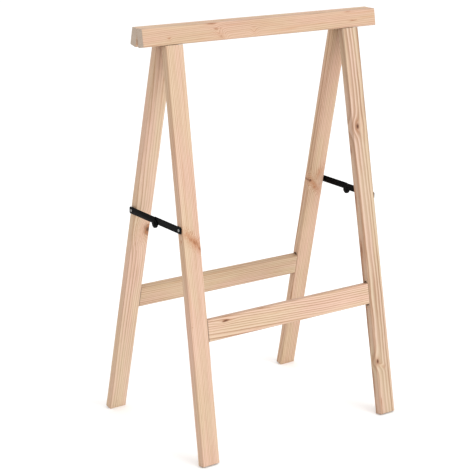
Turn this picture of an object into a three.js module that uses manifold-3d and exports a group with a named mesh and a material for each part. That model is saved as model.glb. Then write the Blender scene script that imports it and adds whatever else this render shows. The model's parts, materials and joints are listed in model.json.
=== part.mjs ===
// A folding sawhorse: two planed pine frames hinged between their top boards, held open by a
// folding steel stay on each side. Above the hinges the boards are bevelled: the bevels meet when
// the sawhorse stands open, and below the hinges the boards' flat faces meet when it is folded.
// The tops of the boards are planed level for the open position.
//
// Millimetres. +X runs along the beam, -Y is the front, +Z is up, and the origin is on the floor
// under the middle of the beam. The sawhorse stands open.
//
// Each frame is drawn flat, in its own plane: x runs along the beam, "down" is the distance
// below the hinge axis, and "out" is the distance from the plane where the two frames meet when
// they are folded together.

import * as THREE from 'three';
import { mergeVertices } from 'three/addons/utils/BufferGeometryUtils.js';
import Module from 'manifold-3d';

const wasm = await Module();
wasm.setup();

// ---- driving dimensions ------------------------------------------------------------------

const HEIGHT = 750;              // floor to the top of the beam
const LEAN = THREE.MathUtils.degToRad(11.2);   // each frame's lean from upright, open
const SPREAD = 0.0159;           // how far a leg moves sideways for each mm down
const GAP = 0.3;                 // between pieces that touch
const PAST = 1;                  // how far a cutter runs past the face that it opens
const EASE = 2;                  // rounding of the planed edges
const EASE_STEPS = 3;
const HALF_JOINT = 0.2;          // half the gap between the folded frames

const BOARD = {
  length: 511, thickness: 17.2,
  above: 13.8,                   // height of the level top over the hinge axis
  below: 20,                     // from the hinge axis down to the bottom edge
};
const LEG = {
  width: 35.5, thickness: 15.5,
  inner: 2.4,                    // from the folding plane to the leg's inner face
  outerX: 211.1,                 // outer edge at the height of the hinge axis
};
const RAIL = { height: 39, thickness: 15.5, down: 496.6 };     // down to the rail's top edge
const TENON = { thickness: 8, length: 16, legWidth: 20 };
const SLOT = { radius: TENON.thickness / 2 + GAP, depth: TENON.length + 2 };

const HINGE = {
  x: 120,                        // each hinge's middle, either side of the beam's middle
  length: 40, leafHeight: 18, leafThickness: 1,
  knuckle: 2, bore: 1, pin: 0.8, // radii
};
const HINGE_SCREW = {
  shank: 1.4, head: 2.5,         // radii
  headDepth: 0.8, sunk: 0.1, point: 3, length: 10,
  side: 12, downs: [6.5, 13],    // places on the leaf
};

const STAY = {
  pivotDown: 334,                // pivot screws, measured down the leg
  drop: 6,                       // rivet below the line of the pivot screws
  barWidth: 12.6, thickness: 1.5,
  beyondPivot: 6.5, corner: 3,   // the bar's end at the pivot screw, and its corner radius
  beyondMiddle: 1,
  ear: 8,                        // radius round the rivet
  frontLayer: 0.5, rearLayer: 2.3,   // inner face of each link, out from the leg
};
const STAY_SCREW = { shank: 1.7, head: 2.6, headHeight: 1.6, length: 25, point: 4 };
const SPACER = { radius: 6, thickness: 1.7 };
const RIVET = { shank: 2, head: 4, headHeight: 0.9, domeHeight: 1.4, split: 0.1 };

const ROUND = 24;                // segments of a full circle
const DOME_STEPS = 4;

// ---- derived places ----------------------------------------------------------------------

const boardOut = HALF_JOINT + BOARD.thickness;
const hingeZ = HEIGHT - BOARD.above;
const footDown = (hingeZ - EASE + (LEG.inner + EASE) * Math.sin(LEAN)) / Math.cos(LEAN) + EASE;
const legTop = BOARD.below + GAP;
const legMiddle = LEG.inner + LEG.thickness / 2;
const outerLegX = (down) => LEG.outerX + SPREAD * down;
const innerLegX = (down) => outerLegX(down) - LEG.width;

// ---- materials ---------------------------------------------------------------------------

const pine = new THREE.MeshStandardMaterial({ name: 'pine', color: 0xe8c7a4, roughness: 0.62 });
const blackSteel = new THREE.MeshStandardMaterial(
  { name: 'black_steel', color: 0x14130f, roughness: 0.42, metalness: 0.6 });
const zinc = new THREE.MeshStandardMaterial(
  { name: 'zinc', color: 0xc9c8c2, roughness: 0.35, metalness: 0.9 });

// ---- solids ------------------------------------------------------------------------------

function toSolid(geometry) {
  const bare = geometry.clone();
  bare.deleteAttribute('normal');
  bare.deleteAttribute('uv');
  const merged = mergeVertices(bare, 1e-5);
  return new wasm.Manifold(new wasm.Mesh({
    numProp: 3,
    vertProperties: new Float32Array(merged.attributes.position.array),
    triVerts: new Uint32Array(merged.index.array),
  }));
}

function toGeometry(solid) {
  const mesh = solid.getMesh();
  const geometry = new THREE.BufferGeometry();
  geometry.setAttribute('position', new THREE.BufferAttribute(mesh.vertProperties, 3));
  geometry.setIndex(new THREE.BufferAttribute(mesh.triVerts, 1));
  geometry.computeVertexNormals();
  return geometry;
}

const joined = (...solids) => solids.reduce((whole, piece) => whole.add(piece));
const cut = (solid, cutters) => cutters.reduce((rest, cutter) => rest.subtract(cutter), solid);

function node(name, solid, material) {
  const mesh = new THREE.Mesh(toGeometry(solid), material);
  mesh.name = name;
  return mesh;
}

function box(low, high) {
  const size = high.map((value, i) => value - low[i]);
  const geometry = new THREE.BoxGeometry(...size);
  geometry.translate(...low.map((value, i) => value + size[i] / 2));
  return toSolid(geometry);
}

// A round solid from its outline of [radius, distance along the axis], about the line that
// starts at `base` and runs along `axis`.
function turned(outline, base, axis) {
  const points = outline.map(([radius, along]) => new THREE.Vector2(radius, along));
  const geometry = new THREE.LatheGeometry(points, ROUND);
  const turn = new THREE.Quaternion().setFromUnitVectors(new THREE.Vector3(0, 1, 0), axis);
  geometry.applyQuaternion(turn);
  geometry.translate(...base.toArray());
  return toSolid(geometry);
}

const rodOutline = (radius, start, end) => [[0, start], [radius, start], [radius, end], [0, end]];
const rod = (radius, start, end, base, axis) => turned(rodOutline(radius, start, end), base, axis);

// The outline of a domed head, a quarter ellipse from its rim to the middle of its top.
function dome(radius, start, height) {
  return Array.from({ length: DOME_STEPS + 1 }, (_, i) => {
    const angle = (i / DOME_STEPS) * (Math.PI / 2);
    return [i < DOME_STEPS ? radius * Math.cos(angle) : 0, start + height * Math.sin(angle)];
  });
}

// ---- pieces of a wooden frame, drawn flat with "out" along -Y and "down" along -Z ------------

const inFrame = (x, out, down) => new THREE.Vector3(x, -out, -down);
const outward = new THREE.Vector3(0, -1, 0);
const upward = new THREE.Vector3(0, 0, 1);
const alongX = new THREE.Vector3(1, 0, 0);

const block = (x, out, down) => box([x[0], -out[1], -down[1]], [x[1], -out[0], -down[0]]);

// A planed plank: an outline of [x, down] corners, with eased edges, from `inner` outwards.
function plank(corners, thickness, inner) {
  const shape = new THREE.Shape(corners.map(([x, down]) => new THREE.Vector2(x, -down)));
  const geometry = new THREE.ExtrudeGeometry(shape, {
    depth: thickness - 2 * EASE,
    bevelThickness: EASE,
    bevelSize: EASE,
    bevelOffset: -EASE,
    bevelSegments: EASE_STEPS,
  });
  geometry.rotateX(Math.PI / 2);
  geometry.translate(0, -inner - EASE, 0);
  return toSolid(geometry);
}

const tenonOut = [legMiddle - TENON.thickness / 2, legMiddle + TENON.thickness / 2];

// A mortise with round ends, as a router bit cuts it: the bit goes in at `start` along `axis`,
// and then runs to `end`.
function slot(start, end, axis) {
  const run = new THREE.Vector3().subVectors(end, start);
  const half = run.length() / 2;
  const along = run.normalize();
  const across = new THREE.Vector3().crossVectors(axis, along);
  const shape = new THREE.Shape();
  shape.absarc(half, 0, SLOT.radius, -Math.PI / 2, Math.PI / 2);
  shape.absarc(-half, 0, SLOT.radius, Math.PI / 2, 1.5 * Math.PI);
  const geometry = new THREE.ExtrudeGeometry(shape, {
    depth: SLOT.depth, bevelEnabled: false, curveSegments: ROUND / 4,
  });
  geometry.applyMatrix4(new THREE.Matrix4().makeBasis(along, across, axis));
  geometry.translate(...start.clone().lerp(end, 0.5).toArray());
  return toSolid(geometry);
}

const tenonX = (side) => side * (innerLegX(BOARD.below) + LEG.width / 2);

// A solid from an outline drawn in the Y-Z plane, from one x to another.
function alongTheBeam(shape, from, to) {
  const geometry = new THREE.ExtrudeGeometry(shape, {
    depth: to - from, bevelEnabled: false, curveSegments: ROUND / 2,
  });
  geometry.applyMatrix4(new THREE.Matrix4().makeBasis(outward.clone().negate(), upward, alongX));
  geometry.translate(from, 0, 0);
  return toSolid(geometry);
}

// A point of the Y-Z drawing, from its distance from the middle and its height over the hinge
// axis when the sawhorse is open.
const whenOpen = (distance, height) => new THREE.Vector2(
  -distance * Math.cos(LEAN) - height * Math.sin(LEAN),
  height * Math.cos(LEAN) - distance * Math.sin(LEAN));

// What is planed off a board's blank: the bevel above the hinge, which is upright when the
// sawhorse is open, and the top, which is level then, both with eased edges.
function planedOff(blankTop) {
  const height = BOARD.above - EASE;
  const toOuterEdge = (boardOut - EASE - height * Math.sin(LEAN)) / Math.cos(LEAN);
  const outer = whenOpen(toOuterEdge, height);
  const inner = whenOpen(HALF_JOINT * Math.cos(LEAN) + EASE, height);
  const shape = new THREE.Shape();
  shape.moveTo(PAST, 0);
  shape.lineTo(-HALF_JOINT, 0);
  shape.absarc(inner.x, inner.y, EASE, LEAN, Math.PI / 2 + LEAN);
  shape.absarc(outer.x, outer.y, EASE, Math.PI / 2 + LEAN, Math.PI);
  shape.lineTo(-boardOut - PAST, outer.y);
  shape.lineTo(-boardOut - PAST, blankTop + PAST);
  shape.lineTo(PAST, blankTop + PAST);
  return alongTheBeam(shape, -BOARD.length / 2 - PAST, BOARD.length / 2 + PAST);
}

function topBoard(hinges) {
  const half = BOARD.length / 2;
  const blankTop = BOARD.above + 2 * EASE;
  const blank = plank([[-half, -blankTop], [half, -blankTop], [half, BOARD.below],
    [-half, BOARD.below]], BOARD.thickness, HALF_JOINT);
  const reach = TENON.legWidth / 2 + GAP;
  const mortises = [-1, 1].map((side) => slot(
    inFrame(tenonX(side) - reach, legMiddle, legTop),
    inFrame(tenonX(side) + reach, legMiddle, legTop), upward));
  return cut(blank, [planedOff(blankTop), ...mortises, ...hinges.flatMap(hingeRecess)]);
}

function leg(side) {
  const corners = [
    [side * innerLegX(legTop), legTop], [side * outerLegX(legTop), legTop],
    [side * outerLegX(footDown), footDown], [side * innerLegX(footDown), footDown],
  ];
  const half = TENON.legWidth / 2;
  const tenon = block([tenonX(side) - half, tenonX(side) + half], tenonOut,
    [BOARD.below - TENON.length, legTop + EASE]);
  const sideways = alongX.clone().multiplyScalar(side);
  const mouth = side * (innerLegX(RAIL.down) - PAST);
  const railSlot = slot(inFrame(mouth, legMiddle, RAIL.down - GAP),
    inFrame(mouth, legMiddle, RAIL.down + RAIL.height + GAP), sideways);
  const pilot = rod(STAY_SCREW.shank + GAP, -STAY_SCREW.length - PAST, PAST,
    inFrame(side * outerLegX(STAY.pivotDown), legMiddle, STAY.pivotDown), sideways);
  return cut(joined(plank(corners, LEG.thickness, LEG.inner), tenon), [railSlot, pilot]);
}

function rail() {
  const bottom = RAIL.down + RAIL.height;
  const topEnd = innerLegX(RAIL.down) - GAP;
  const bottomEnd = innerLegX(bottom) - GAP;
  const body = plank([[-topEnd, RAIL.down], [topEnd, RAIL.down], [bottomEnd, bottom],
    [-bottomEnd, bottom]], RAIL.thickness, LEG.inner);
  const reach = topEnd + TENON.length;
  return joined(body, block([-reach, reach], tenonOut, [RAIL.down, bottom]));
}

// ---- hinges between the boards, with their axis where the bevels start -----------------------

const barrel = (radius, [from, to]) => rod(radius, from, to, new THREE.Vector3(), alongX);
const hingeScrewPlaces = (x) => [[x - HINGE_SCREW.side, HINGE_SCREW.downs[0]],
  [x + HINGE_SCREW.side, HINGE_SCREW.downs[1]]];
const screwBase = ([x, down]) => inFrame(x, HALF_JOINT + HINGE_SCREW.sunk, down);

function hingeRecess(x) {
  const half = HINGE.length / 2 + GAP;
  const depth = HALF_JOINT + HINGE.leafThickness + GAP;
  return [
    block([x - half, x + half], [-PAST, depth], [-PAST, HINGE.leafHeight + GAP]),
    barrel(HINGE.knuckle + GAP, [x - half, x + half]),
    ...hingeScrewPlaces(x).map((place) => rod(HINGE_SCREW.shank + GAP, 0,
      HINGE_SCREW.length + PAST, screwBase(place), outward)),
  ];
}

// A leaf with its own knuckles: `own` says which thirds of the length they take.
function hingeLeaf(x, own) {
  const start = x - HINGE.length / 2;
  const third = HINGE.length / 3;
  const thirds = [0, 1, 2].map((i) => [start + i * third, start + (i + 1) * third]);
  const plate = block([start, start + HINGE.length],
    [HALF_JOINT, HALF_JOINT + HINGE.leafThickness], [0, HINGE.leafHeight]);
  const room = thirds.filter((_, i) => !own.includes(i))
    .map(([from, to]) => barrel(HINGE.knuckle + GAP, [from - GAP / 2, to + GAP / 2]));
  const knuckles = own.map((i) => barrel(HINGE.knuckle, [
    thirds[i][0] + (i > 0 ? GAP / 2 : 0), thirds[i][1] - (i < 2 ? GAP / 2 : 0)]));
  const bore = barrel(HINGE.bore, [start - PAST, start + HINGE.length + PAST]);
  const [hole, sink] = [HINGE_SCREW.shank + GAP, HINGE_SCREW.head + GAP];
  const through = HINGE.leafThickness + PAST;
  const holes = hingeScrewPlaces(x).map((place) => turned(
    [[0, -PAST], [sink, -PAST], [sink, 0], [hole, HINGE_SCREW.headDepth], [hole, through],
      [0, through]], screwBase(place), outward));
  return cut(joined(cut(plate, room), ...knuckles), [bore, ...holes]);
}

const hingeScrew = (place) => turned([[0, 0], [HINGE_SCREW.head, 0],
  [HINGE_SCREW.shank, HINGE_SCREW.headDepth],
  [HINGE_SCREW.shank, HINGE_SCREW.length - HINGE_SCREW.point],
  [0, HINGE_SCREW.length]], screwBase(place), outward);

// ---- the two frames ------------------------------------------------------------------------

const sideName = (sign) => (sign < 0 ? 'left' : 'right');
const hingePlaces = [-HINGE.x, HINGE.x];

// `facing` is 1 for the front frame and -1 for the rear one, which is turned half round.
function woodenFrame(end, facing) {
  const flat = new THREE.Group();
  flat.rotation.x = -LEAN;
  flat.add(node(`${end}_top_board`, topBoard(hingePlaces), pine));
  flat.add(node(`${end}_rail`, rail(), pine));
  for (const side of [-1, 1]) {
    flat.add(node(`${end}_${sideName(side * facing)}_leg`, leg(side), pine));
  }
  const ownKnuckles = facing > 0 ? [0, 2] : [1];
  for (const x of hingePlaces) {
    const prefix = `${sideName(x * facing)}_hinge_${end}`;
    flat.add(node(`${prefix}_leaf`, hingeLeaf(x, ownKnuckles), zinc));
    hingeScrewPlaces(x).forEach((place, i) => {
      flat.add(node(`${prefix}_screw_${i + 1}`, hingeScrew(place), zinc));
    });
  }
  const placed = new THREE.Group();
  placed.rotation.z = facing > 0 ? 0 : Math.PI;
  placed.position.z = hingeZ;
  placed.add(flat);
  return placed;
}

// ---- stays, on the outer sides of the legs -------------------------------------------------

const pivotY = STAY.pivotDown * Math.sin(LEAN) + legMiddle * Math.cos(LEAN);
const pivotZ = hingeZ - STAY.pivotDown * Math.cos(LEAN) + legMiddle * Math.sin(LEAN);
const rivetZ = pivotZ - STAY.drop;
const legFaceX = outerLegX(STAY.pivotDown);

// A flat solid from an outline drawn in the Y-Z plane, `from` to `to` out from the leg's face.
function sheetMetal(shape, side, from, to) {
  const ends = [side * (legFaceX + from), side * (legFaceX + to)];
  return alongTheBeam(shape, Math.min(...ends), Math.max(...ends));
}

function disc(y, z, radius) {
  const shape = new THREE.Shape();
  shape.absarc(y, z, radius, 0, 2 * Math.PI);
  return shape;
}

// The outline of a link's bar, from the middle to past its pivot screw on the rear side.
function barOutline() {
  const half = STAY.barWidth / 2;
  const cornerY = pivotY + STAY.beyondPivot - STAY.corner;
  const shape = new THREE.Shape();
  shape.moveTo(-STAY.beyondMiddle, pivotZ - half);
  shape.lineTo(cornerY, pivotZ - half);
  shape.absarc(cornerY, pivotZ - half + STAY.corner, STAY.corner, -Math.PI / 2, 0);
  shape.absarc(cornerY, pivotZ + half - STAY.corner, STAY.corner, 0, Math.PI / 2);
  shape.lineTo(-STAY.beyondMiddle, pivotZ + half);
  return shape.getPoints(ROUND / 4);
}

function stayLink(side, toRear, layer) {
  const bar = new THREE.Shape(barOutline().map(({ x, y }) => new THREE.Vector2(toRear * x, y)));
  const outlines = [bar, disc(0, rivetZ, STAY.ear)];
  const holes = [disc(toRear * pivotY, pivotZ, STAY_SCREW.shank + GAP),
    disc(0, rivetZ, RIVET.shank + GAP)];
  const outerFace = layer + STAY.thickness;
  return cut(joined(...outlines.map((shape) => sheetMetal(shape, side, layer, outerFace))),
    holes.map((shape) => sheetMetal(shape, side, layer - PAST, outerFace + PAST)));
}

// A pivot screw, with its head's flat underside at `headAt`.
const pivotScrew = (headAt) => [[0, -STAY_SCREW.length],
  [STAY_SCREW.shank, STAY_SCREW.point - STAY_SCREW.length], [STAY_SCREW.shank, headAt],
  ...dome(STAY_SCREW.head, headAt, STAY_SCREW.headHeight)];

function spacer() {
  const [inner, start, end] = [STAY_SCREW.shank + GAP, GAP, GAP + SPACER.thickness];
  return [[inner, start], [SPACER.radius, start], [SPACER.radius, end], [inner, end],
    [inner, start]];
}

// The rivet's two halves, which meet in the gap between the links.
function rivetHalves() {
  const meeting = (STAY.frontLayer + STAY.thickness + STAY.rearLayer) / 2;
  const innerHead = STAY.frontLayer - GAP;
  const outerHead = STAY.rearLayer + STAY.thickness + GAP;
  const [frontEnd, rearEnd] = [meeting - RIVET.split / 2, meeting + RIVET.split / 2];
  return {
    front: [[0, innerHead - RIVET.headHeight], [RIVET.head, innerHead - RIVET.headHeight],
      [RIVET.head, innerHead], [RIVET.shank, innerHead], [RIVET.shank, frontEnd], [0, frontEnd]],
    rear: [[0, rearEnd], [RIVET.shank, rearEnd], [RIVET.shank, outerHead],
      ...dome(RIVET.head, outerHead, RIVET.domeHeight)],
  };
}

function stay(side) {
  const group = new THREE.Group();
  const prefix = `${sideName(side)}_stay`;
  const sideways = alongX.clone().multiplyScalar(side);
  const add = (name, outline, y, z, material) => group.add(
    node(`${prefix}_${name}`, turned(outline, new THREE.Vector3(side * legFaceX, y, z), sideways),
      material));
  group.add(node(`${prefix}_rear_link`, stayLink(side, 1, STAY.rearLayer), blackSteel));
  group.add(node(`${prefix}_front_link`, stayLink(side, -1, STAY.frontLayer), blackSteel));
  const [rearHead, frontHead] = [STAY.rearLayer, STAY.frontLayer]
    .map((layer) => layer + STAY.thickness + GAP);
  add('rear_screw', pivotScrew(rearHead), pivotY, pivotZ, zinc);
  add('front_screw', pivotScrew(frontHead), -pivotY, pivotZ, zinc);
  add('rear_spacer', spacer(), pivotY, pivotZ, blackSteel);
  const halves = rivetHalves();
  add('rear_rivet', halves.rear, 0, rivetZ, blackSteel);
  add('front_rivet', halves.front, 0, rivetZ, blackSteel);
  return group;
}

// ---- the sawhorse ------------------------------------------------------------------------

const sawhorse = new THREE.Group();
sawhorse.add(woodenFrame('front', 1), woodenFrame('rear', -1), stay(-1), stay(1));

for (const x of hingePlaces) {
  const half = HINGE.length / 2;
  const pin = node(`${sideName(x)}_hinge_pin`, barrel(HINGE.pin, [x - half, x + half]), zinc);
  pin.position.z = hingeZ;
  sawhorse.add(pin);
}

export default sawhorse;
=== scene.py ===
"""A folding pine sawhorse with black steel stays, dressed round its CAD frame.

Every wooden and steel piece is built here in mesh code, in millimetres, and placed by the CAD
model's own boxes and joints. Each plank has a solid wood material: growth rings round a pith
line, bent round its knots, so that faces, edges and end grain agree, with painted shade
darkening its narrow faces and its rounded edges.
"""

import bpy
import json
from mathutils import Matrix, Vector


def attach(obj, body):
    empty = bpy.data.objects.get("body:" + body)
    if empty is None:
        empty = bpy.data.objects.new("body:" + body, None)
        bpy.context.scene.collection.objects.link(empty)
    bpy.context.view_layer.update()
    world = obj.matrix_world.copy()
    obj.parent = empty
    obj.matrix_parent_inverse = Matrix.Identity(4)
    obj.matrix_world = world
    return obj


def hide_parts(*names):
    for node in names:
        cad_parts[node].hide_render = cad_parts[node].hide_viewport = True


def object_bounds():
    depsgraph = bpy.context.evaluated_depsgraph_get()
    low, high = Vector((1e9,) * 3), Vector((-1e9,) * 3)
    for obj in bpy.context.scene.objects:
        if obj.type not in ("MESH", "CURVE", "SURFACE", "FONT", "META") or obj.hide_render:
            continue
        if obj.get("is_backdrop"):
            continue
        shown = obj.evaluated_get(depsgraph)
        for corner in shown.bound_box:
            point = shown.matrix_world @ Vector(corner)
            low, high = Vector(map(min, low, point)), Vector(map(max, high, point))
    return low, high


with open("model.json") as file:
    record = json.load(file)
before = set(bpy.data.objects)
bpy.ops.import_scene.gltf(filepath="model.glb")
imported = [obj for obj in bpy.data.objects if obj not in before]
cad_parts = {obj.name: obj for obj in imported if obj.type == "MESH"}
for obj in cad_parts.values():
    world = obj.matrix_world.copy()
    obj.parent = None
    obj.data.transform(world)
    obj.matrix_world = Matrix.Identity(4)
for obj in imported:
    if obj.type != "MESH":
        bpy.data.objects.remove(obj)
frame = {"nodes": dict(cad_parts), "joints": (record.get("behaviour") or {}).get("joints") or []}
cad_box = [list(corner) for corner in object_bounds()]

import json
import math

import bmesh
import bpy
from mathutils import Matrix, Vector, noise

MM = 0.001

# ---- the CAD frame in millimetres ----

JOINTS = {joint["name"]: joint for joint in frame["joints"]}
FOLD = JOINTS["frame_fold"]
HINGE_Z = FOLD["pos_m"][2] / MM
LEAN = math.radians(FOLD["range_deg"][1]) / 2

# A wooden frame is drawn flat: x along the beam, -y outwards, -z down from the hinge line.
LEANING = Matrix.Translation((0, 0, HINGE_Z)) @ Matrix.Rotation(-LEAN, 4, "X")
HALF_TURN = Matrix.Rotation(math.pi, 4, "Z")
FLAT = {"front": LEANING, "rear": HALF_TURN @ LEANING}
ENDS = ("front", "rear")
SIDES = ("left", "right")
GAP = 0.3  # between pieces that touch
LEVEL = 0.05  # corners this near in height are level


def node_points(node, inverse=Matrix()):
    return [inverse @ (vertex.co / MM) for vertex in frame["nodes"][node].data.vertices]


def flat_points(node, end):
    """The CAD node's corners as (x, out, down) in its frame's flat drawing."""
    return [(p.x, -p.y, -p.z) for p in node_points(node, FLAT[end].inverted())]


def spans(points):
    return [(min(values), max(values)) for values in zip(*points)]


def flat_box(node, end):
    """The spans (x, out, down) of a CAD node in its frame's flat drawing."""
    return spans(flat_points(node, end))


def middle(span):
    return (span[0] + span[1]) / 2


def x_span_at(points, down):
    """The lowest and highest x of the corners at one distance down."""
    xs = [x for x, _, d in points if abs(d - down) < LEVEL]
    return min(xs), max(xs)


def flat_side(side, end):
    """Which way along the flat x this side lies; the rear frame is turned half round."""
    return (-1 if side == "left" else 1) * (1 if end == "front" else -1)


def board_box(end):
    return flat_box(f"{end}_top_board", end)


# ---- meshes ----

ROUND = 48  # segments of a full circle
FEWER = 32  # on a small one
SHARP_EDGE = 35  # edges that turn by more degrees than this stay sharp
BEVEL_SEGMENTS, BEVEL_EDGE = 2, 40


def object_from(name, bm):
    bmesh.ops.recalc_face_normals(bm, faces=bm.faces)
    mesh = bpy.data.meshes.new(name)
    bm.to_mesh(mesh)
    bm.free()
    obj = bpy.data.objects.new(name, mesh)
    bpy.context.scene.collection.objects.link(obj)
    return obj


def settled(obj):
    """Applies the object's modifiers to its mesh."""
    depsgraph = bpy.context.evaluated_depsgraph_get()
    obj.data = bpy.data.meshes.new_from_object(obj.evaluated_get(depsgraph))
    obj.modifiers.clear()
    return obj


def boolean(obj, other, operation="DIFFERENCE"):
    modifier = obj.modifiers.new(operation, "BOOLEAN")
    modifier.operation = operation
    modifier.solver = "EXACT"
    modifier.object = other
    settled(obj)
    bpy.data.objects.remove(other)
    return obj


def bevelled(obj, width):
    modifier = obj.modifiers.new("edges", "BEVEL")
    modifier.width = width
    modifier.segments = BEVEL_SEGMENTS
    modifier.limit_method = "ANGLE"
    modifier.angle_limit = math.radians(BEVEL_EDGE)
    return settled(obj)


def shade(obj):
    """Smooth shading, except over sharp edges."""
    obj.data.shade_smooth()
    obj.data.set_sharp_from_angle(angle=math.radians(SHARP_EDGE))
    return obj


def moved(obj, matrix):
    obj.data.transform(matrix)
    if matrix.determinant() < 0:
        obj.data.flip_normals()
    return obj


def loft(name, rings):
    """A closed solid through rings of as many points each, with a face on both ends."""
    bm = bmesh.new()
    rings = [[bm.verts.new(point) for point in ring] for ring in rings]
    count = len(rings[0])
    for low, high in zip(rings, rings[1:]):
        for i in range(count):
            j = (i + 1) % count
            bm.faces.new((low[i], low[j], high[j], high[i]))
    bm.faces.new(rings[0])
    bm.faces.new(rings[-1])
    return object_from(name, bm)


def prism(name, outline, low, high):
    """A closed solid from an outline of (x, y), between two heights."""
    return loft(name, [[(x, y, z) for x, y in outline] for z in (low, high)])


def block(name, x, y, z):
    return prism(name, [(x[0], y[0]), (x[1], y[0]), (x[1], y[1]), (x[0], y[1])], *z)


def turned(name, outline, steps=ROUND):
    """A solid of revolution round +z, from an outline of (radius, z)."""
    bm = bmesh.new()
    angles = [2 * math.pi * i / steps for i in range(steps)]
    rings = []
    for radius, z in outline:
        circle = [(radius * math.cos(t), radius * math.sin(t), z) for t in angles]
        rings.append([bm.verts.new(point) for point in (circle if radius else [(0, 0, z)])])
    closed = rings + ([rings[0]] if outline[0][0] > 0 else [])
    for low, high in zip(closed, closed[1:]):
        for i in range(steps):
            corners = [low[i % len(low)], low[(i + 1) % len(low)],
                       high[(i + 1) % len(high)], high[i % len(high)]]
            bm.faces.new([v for k, v in enumerate(corners) if v is not corners[k - 1]])
    return object_from(name, bm)


def arc(centre, radius, start, end, steps):
    """Points on a circle from one angle to another, in degrees."""
    angles = [math.radians(start + (end - start) * i / steps) for i in range(steps + 1)]
    return [(centre[0] + radius * math.cos(t), centre[1] + radius * math.sin(t)) for t in angles]


def rod(radius, low, high):
    """The outline of a plain cylinder."""
    return [(0, low), (radius, low), (radius, high), (0, high)]


def eased_rod(radius, low, high, edge, bore=0):
    """The outline of a cylinder with chamfered rims, or of a ring round a bore."""
    return [(bore, low), (radius - edge, low), (radius, low + edge),
            (radius, high - edge), (radius - edge, high), (bore, high)]


def axes(x, y, z, origin=(0, 0, 0)):
    """The matrix that puts x, y and z along these directions, from this origin."""
    basis = Matrix((x, y, z)).transposed().to_4x4()
    return Matrix.Translation(origin) @ basis


ALONG_X = Matrix(((0, 0, 1, 0), (0, 1, 0, 0), (1, 0, 0, 0), (0, 0, 0, 1)))  # swaps x and z
Z_OUTWARDS = ((1, 0, 0), (0, 0, 1), (0, -1, 0))


def outwards(place):
    """Puts a turned piece's z outwards (-y) from a place in the flat drawing."""
    return axes(*Z_OUTWARDS, place)


# ---- sizes of the steel pieces ----

LINK = {"half": 6.3, "past": 6.5, "corner": 3.0, "ear": 8.0, "drop": 6.0, "overlap": 1.0,
        "edge": 0.3}
STAY_SCREW = {"shank": 1.7, "height": 1.6, "head": 2.6, "point": 2.4, "taper": 4.5}
SPACER = {"radius": 6.0, "edge": 0.2}
RIVET = {"shank": 2.0, "head": 4.0, "flat": 0.9, "dome": 1.4, "edge": 0.25, "back_edge": 0.15}
DOME = {"upright": 0.3, "chamfer": 0.15, "steps": 10}
LEAF = {"thickness": 1.0, "knuckle": 2.0, "bore": 1.0, "corner": 1.2, "tuck": 1.3, "edge": 0.12,
        "roll": 192}  # roll: the angle where a knuckle leaves the plate
PIN = {"radius": 0.8, "edge": 0.2}
HINGE_SCREW = {"shank": 1.4, "head": 2.5, "depth": 0.8, "edge": 0.1, "point": 3.0, "tip": 0.3}
RECESS_TURN = 20  # how far the cross recesses are turned from square

# ---- planks ----

EDGE_RADIUS = 2.0  # of the long edges
EDGE_WEAR = {"share": 0.28, "length": 45, "least": 0.6, "apart": 7.3}
END_RADIUS = 0.9  # of the edges round an end
END_STEPS = 3
CORNER_STEPS = 5
ACROSS_STEPS, DEPTH_STEPS = 12, 5  # from corner to corner
STATION = 6.0  # from one ring of points to the next
RELIEF = {"depth": 0.12, "along": 80, "across": 14, "apart": 3.1}  # of the planed faces
DISH = {"depth": 0.2, "narrow": 1.2}  # where a face sinks at a knot
RIM = {"share": 0.3, "place": 1.3, "narrow": 3}


class Plank:
    """One plank: where it is, how big it is, and how its wood grew.

    Its own frame has x along the grain, y across the wide face and z outwards, from its middle.
    `corners` are its four corners (x, y) there, and `growth` is its row of GROWTH.
    """

    def __init__(self, node, end, origin, along, across, corners, thickness):
        self.node, self.end, self.growth = node, end, GROWTH[node]
        self.corners, self.thickness = corners, thickness
        along, across = Vector(along).normalized(), Vector(across).normalized()
        self.in_flat = axes(along, across, along.cross(across), origin)
        self.seed = sum(ord(letter) for letter in node)

    def length(self):
        return abs(self.corners[1][0] - self.corners[0][0])

    def width(self):
        return abs(self.corners[2][1] - self.corners[1][1])

    def at(self, u, v):
        """The point at shares u of the length and v of the width."""
        (ax, ay), (bx, by), (cx, cy), (dx, dy) = self.corners
        x = (ax * (1 - u) + bx * u) * (1 - v) + (dx * (1 - u) + cx * u) * v
        y = (ay * (1 - u) + by * u) * (1 - v) + (dy * (1 - u) + cy * u) * v
        return x, y


def ring_outline(width, thickness, radii):
    """Points (y, z, normal y, normal z) round a rectangle, with its own radius at each corner."""
    signs = [(-1, -1), (1, -1), (1, 1), (-1, 1)]
    rounded = []
    for i, ((sy, sz), radius) in enumerate(zip(signs, radii)):
        centre = (sy * (width / 2 - radius), sz * (thickness / 2 - radius))
        start = 180 + 90 * i
        normals = arc((0, 0), 1, start, start + 90, CORNER_STEPS)
        rounded.append([(centre[0] + radius * ny, centre[1] + radius * nz, ny, nz)
                        for ny, nz in normals])
    points = []
    for i, corner in enumerate(rounded):
        points += corner
        begin, ahead = corner[-1], rounded[(i + 1) % 4][0]
        steps = ACROSS_STEPS if i % 2 == 0 else DEPTH_STEPS
        for share in (step / steps for step in range(1, steps)):
            points.append((begin[0] + (ahead[0] - begin[0]) * share,
                           begin[1] + (ahead[1] - begin[1]) * share, *begin[2:]))
    return points


def knot_dent(plank, x, y, facing):
    """How far a wide face sinks at a knot: a shallow dish with a slight rim."""
    dent = 0.0
    for knot in plank.growth["knots"]:
        if knot["face"] in ("both", facing):
            off = math.hypot((x - knot["x"]) / knot["stretch"], y - knot["y"]) / knot["size"]
            rim = math.exp(-((off - RIM["place"]) * RIM["narrow"]) ** 2)
            dent += DISH["depth"] * (RIM["share"] * rim - math.exp(-(off * DISH["narrow"]) ** 2))
    return dent


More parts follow.
